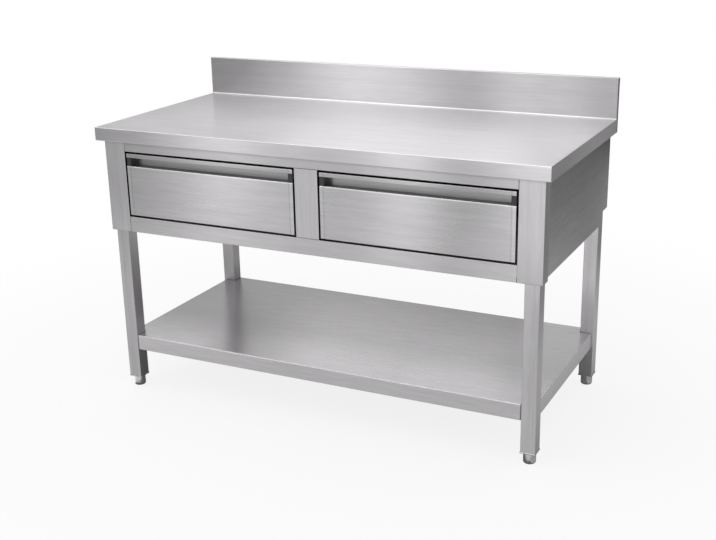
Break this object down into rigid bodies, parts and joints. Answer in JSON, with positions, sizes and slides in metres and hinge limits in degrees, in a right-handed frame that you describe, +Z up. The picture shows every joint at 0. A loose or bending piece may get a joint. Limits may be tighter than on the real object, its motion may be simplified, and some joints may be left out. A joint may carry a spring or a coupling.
{
  "type": "stainless steel work table",
  "caption": "Wall-side stainless steel work table with an upstand, drawers on telescopic runners under the top, square legs on adjustable feet and a solid undershelf.",
  "frame": {"origin": "on the floor, under the middle of the table's box", "axes": "+X along the length to the right as seen from the front, +Y towards the upstand, +Z up"},
  "size_m": [1.5, 0.7, 1.03],
  "materials": {
    "worktop_steel": "satin, brushed along the length",
    "frame_steel": "satin, brushed",
    "panel_steel": "satin, brushed",
    "leg_steel": "satin, brushed along the length",
    "shelf_steel": "satin, brushed along the length",
    "drawer_front_steel": "satin, brushed along the length",
    "drawer_box_steel": "satin",
    "plug_steel": "satin",
    "cap_plastic": "dark grey moulded plastic, finely textured",
    "foot_steel": "turned and polished",
    "runner_steel": "bright zinc",
    "fastener_steel": "bright",
    "hidden_steel": "plain mill finish"
  },
  "bodies": {
    "table": {"corner_post_left": "frame_steel", "corner_post_right": "frame_steel", "front_bottom_rail": "frame_steel", "front_top_rail": "frame_steel", "leg_front_left": "leg_steel", "leg_front_right": "leg_steel", "leg_plug_front_left": "plug_steel", "leg_plug_front_right": "plug_steel", "leg_plug_rear_left": "plug_steel", "leg_plug_rear_right": "plug_steel", "leg_rear_left": "leg_steel", "leg_rear_right": "leg_steel", "leg_top_plates": "hidden_steel", "middle_post": "frame_steel", "rear_middle_rail": "hidden_steel", "rear_panel": "panel_steel", "rear_top_rail": "hidden_steel", "runner_fixed_left_inner": "runner_steel", "runner_fixed_left_outer": "runner_steel", "runner_fixed_right_inner": "runner_steel", "runner_fixed_right_outer": "runner_steel", "runner_rail_centre": "hidden_steel", "runner_rail_left": "hidden_steel", "runner_rail_right": "hidden_steel", "runner_screws": "fastener_steel", "shelf_bolts_and_nuts": "fastener_steel", "shelf_stiffener_front": "hidden_steel", "shelf_stiffener_rear": "hidden_steel", "side_panel_left": "panel_steel", "side_panel_right": "panel_steel", "undershelf": "shelf_steel", "upstand_ends": "worktop_steel", "worktop": "worktop_steel", "worktop_stiffener_front": "hidden_steel", "worktop_stiffener_middle": "hidden_steel", "worktop_stiffener_rear": "hidden_steel"},
    "left_drawer": {"drawer_front_left": "drawer_front_steel", "grip_end_caps_left": "cap_plastic", "drawer_box_left": "drawer_box_steel", "drawer_screws_left": "fastener_steel", "runner_drawer_left_outer": "runner_steel", "runner_drawer_left_inner": "runner_steel"},
    "left_runner_middles": {"runner_middle_left_outer": "runner_steel", "runner_middle_left_inner": "runner_steel"},
    "left_outer_cages": {"ball_cages_left_outer": "runner_steel"},
    "left_inner_cages": {"ball_cages_left_inner": "runner_steel"},
    "right_drawer": {"drawer_front_right": "drawer_front_steel", "grip_end_caps_right": "cap_plastic", "drawer_box_right": "drawer_box_steel", "drawer_screws_right": "fastener_steel", "runner_drawer_right_outer": "runner_steel", "runner_drawer_right_inner": "runner_steel"},
    "right_runner_middles": {"runner_middle_right_outer": "runner_steel", "runner_middle_right_inner": "runner_steel"},
    "right_outer_cages": {"ball_cages_right_outer": "runner_steel"},
    "right_inner_cages": {"ball_cages_right_inner": "runner_steel"},
    "foot_front_left_body": {"foot_front_left": "foot_steel"},
    "foot_front_right_body": {"foot_front_right": "foot_steel"},
    "foot_rear_left_body": {"foot_rear_left": "foot_steel"},
    "foot_rear_right_body": {"foot_rear_right": "foot_steel"}
  },
  "joints": [
    {"name": "left_drawer_slide", "type": "slide", "parent": "table", "child": "left_drawer", "axis": [0, -1, 0], "range_m": [0, 0.5]},
    {"name": "left_runner_slide", "type": "slide", "parent": "table", "child": "left_runner_middles", "axis": [0, -1, 0], "range_m": [0, 0.25]},
    {"name": "left_outer_cage_slide", "type": "slide", "parent": "table", "child": "left_outer_cages", "axis": [0, -1, 0], "range_m": [0, 0.125]},
    {"name": "left_inner_cage_slide", "type": "slide", "parent": "table", "child": "left_inner_cages", "axis": [0, -1, 0], "range_m": [0, 0.375]},
    {"name": "right_drawer_slide", "type": "slide", "parent": "table", "child": "right_drawer", "axis": [0, -1, 0], "range_m": [0, 0.5]},
    {"name": "right_runner_slide", "type": "slide", "parent": "table", "child": "right_runner_middles", "axis": [0, -1, 0], "range_m": [0, 0.25]},
    {"name": "right_outer_cage_slide", "type": "slide", "parent": "table", "child": "right_outer_cages", "axis": [0, -1, 0], "range_m": [0, 0.125]},
    {"name": "right_inner_cage_slide", "type": "slide", "parent": "table", "child": "right_inner_cages", "axis": [0, -1, 0], "range_m": [0, 0.375]},
    {"name": "foot_front_left_adjust", "type": "slide", "parent": "table", "child": "foot_front_left_body", "axis": [0, 0, -1], "range_m": [0, 0.025]},
    {"name": "foot_front_right_adjust", "type": "slide", "parent": "table", "child": "foot_front_right_body", "axis": [0, 0, -1], "range_m": [0, 0.025]},
    {"name": "foot_rear_left_adjust", "type": "slide", "parent": "table", "child": "foot_rear_left_body", "axis": [0, 0, -1], "range_m": [0, 0.025]},
    {"name": "foot_rear_right_adjust", "type": "slide", "parent": "table", "child": "foot_rear_right_body", "axis": [0, 0, -1], "range_m": [0, 0.025]}
  ],
  "couplings": [
    {"joint": "left_runner_slide", "follows": "left_drawer_slide", "ratio": 0.5},
    {"joint": "left_outer_cage_slide", "follows": "left_drawer_slide", "ratio": 0.25},
    {"joint": "left_inner_cage_slide", "follows": "left_drawer_slide", "ratio": 0.75},
    {"joint": "right_runner_slide", "follows": "right_drawer_slide", "ratio": 0.5},
    {"joint": "right_outer_cage_slide", "follows": "right_drawer_slide", "ratio": 0.25},
    {"joint": "right_inner_cage_slide", "follows": "right_drawer_slide", "ratio": 0.75}
  ]
}
